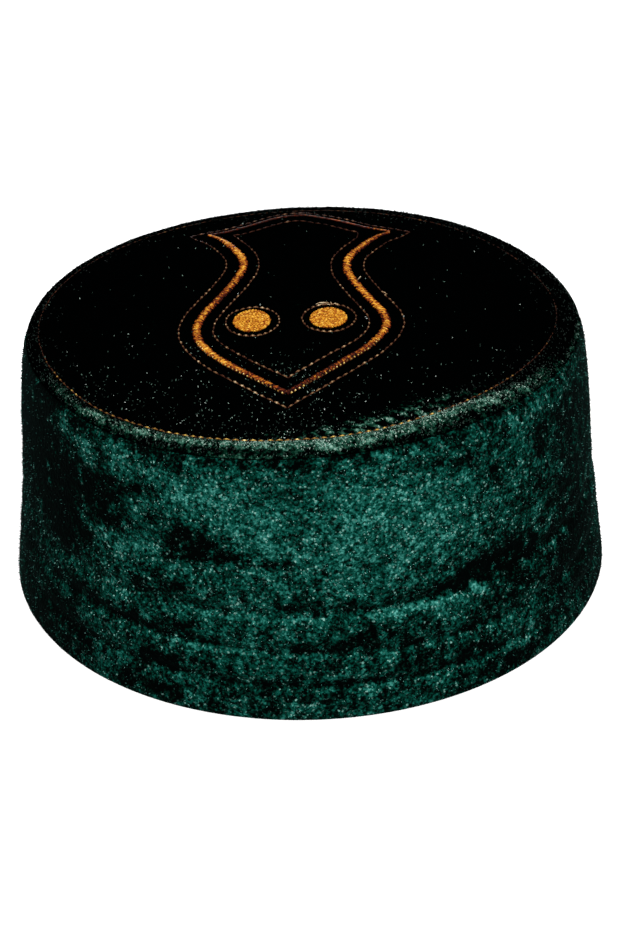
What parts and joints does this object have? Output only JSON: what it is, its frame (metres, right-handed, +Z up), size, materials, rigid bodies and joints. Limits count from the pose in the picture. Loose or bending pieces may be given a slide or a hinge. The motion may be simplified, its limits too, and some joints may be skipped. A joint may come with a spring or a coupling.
{
  "type": "velvet skullcap with gold embroidery",
  "caption": "Round velvet skullcap with a nearly flat topstitched crown, a tall quilted side band and an open head hollow, standing on its hem.",
  "frame": {"origin": "centre of the cap's footprint, in the plane that the hem rests on", "axes": "+Z up through the crown; -Y is the front of the cap, towards which the toe of the embroidered figure points; +X points to the wearer's left"},
  "size_m": [0.1944, 0.1944, 0.0885],
  "materials": {
    "crown_velvet": "near-black green cotton velvet",
    "band_velvet": "crushed dark teal velvet with a bright nap",
    "gold_thread": "satin gold embroidery thread"
  },
  "bodies": {
    "root": {"crown": "crown_velvet", "side_band": "band_velvet"}
  },
  "joints": []
}
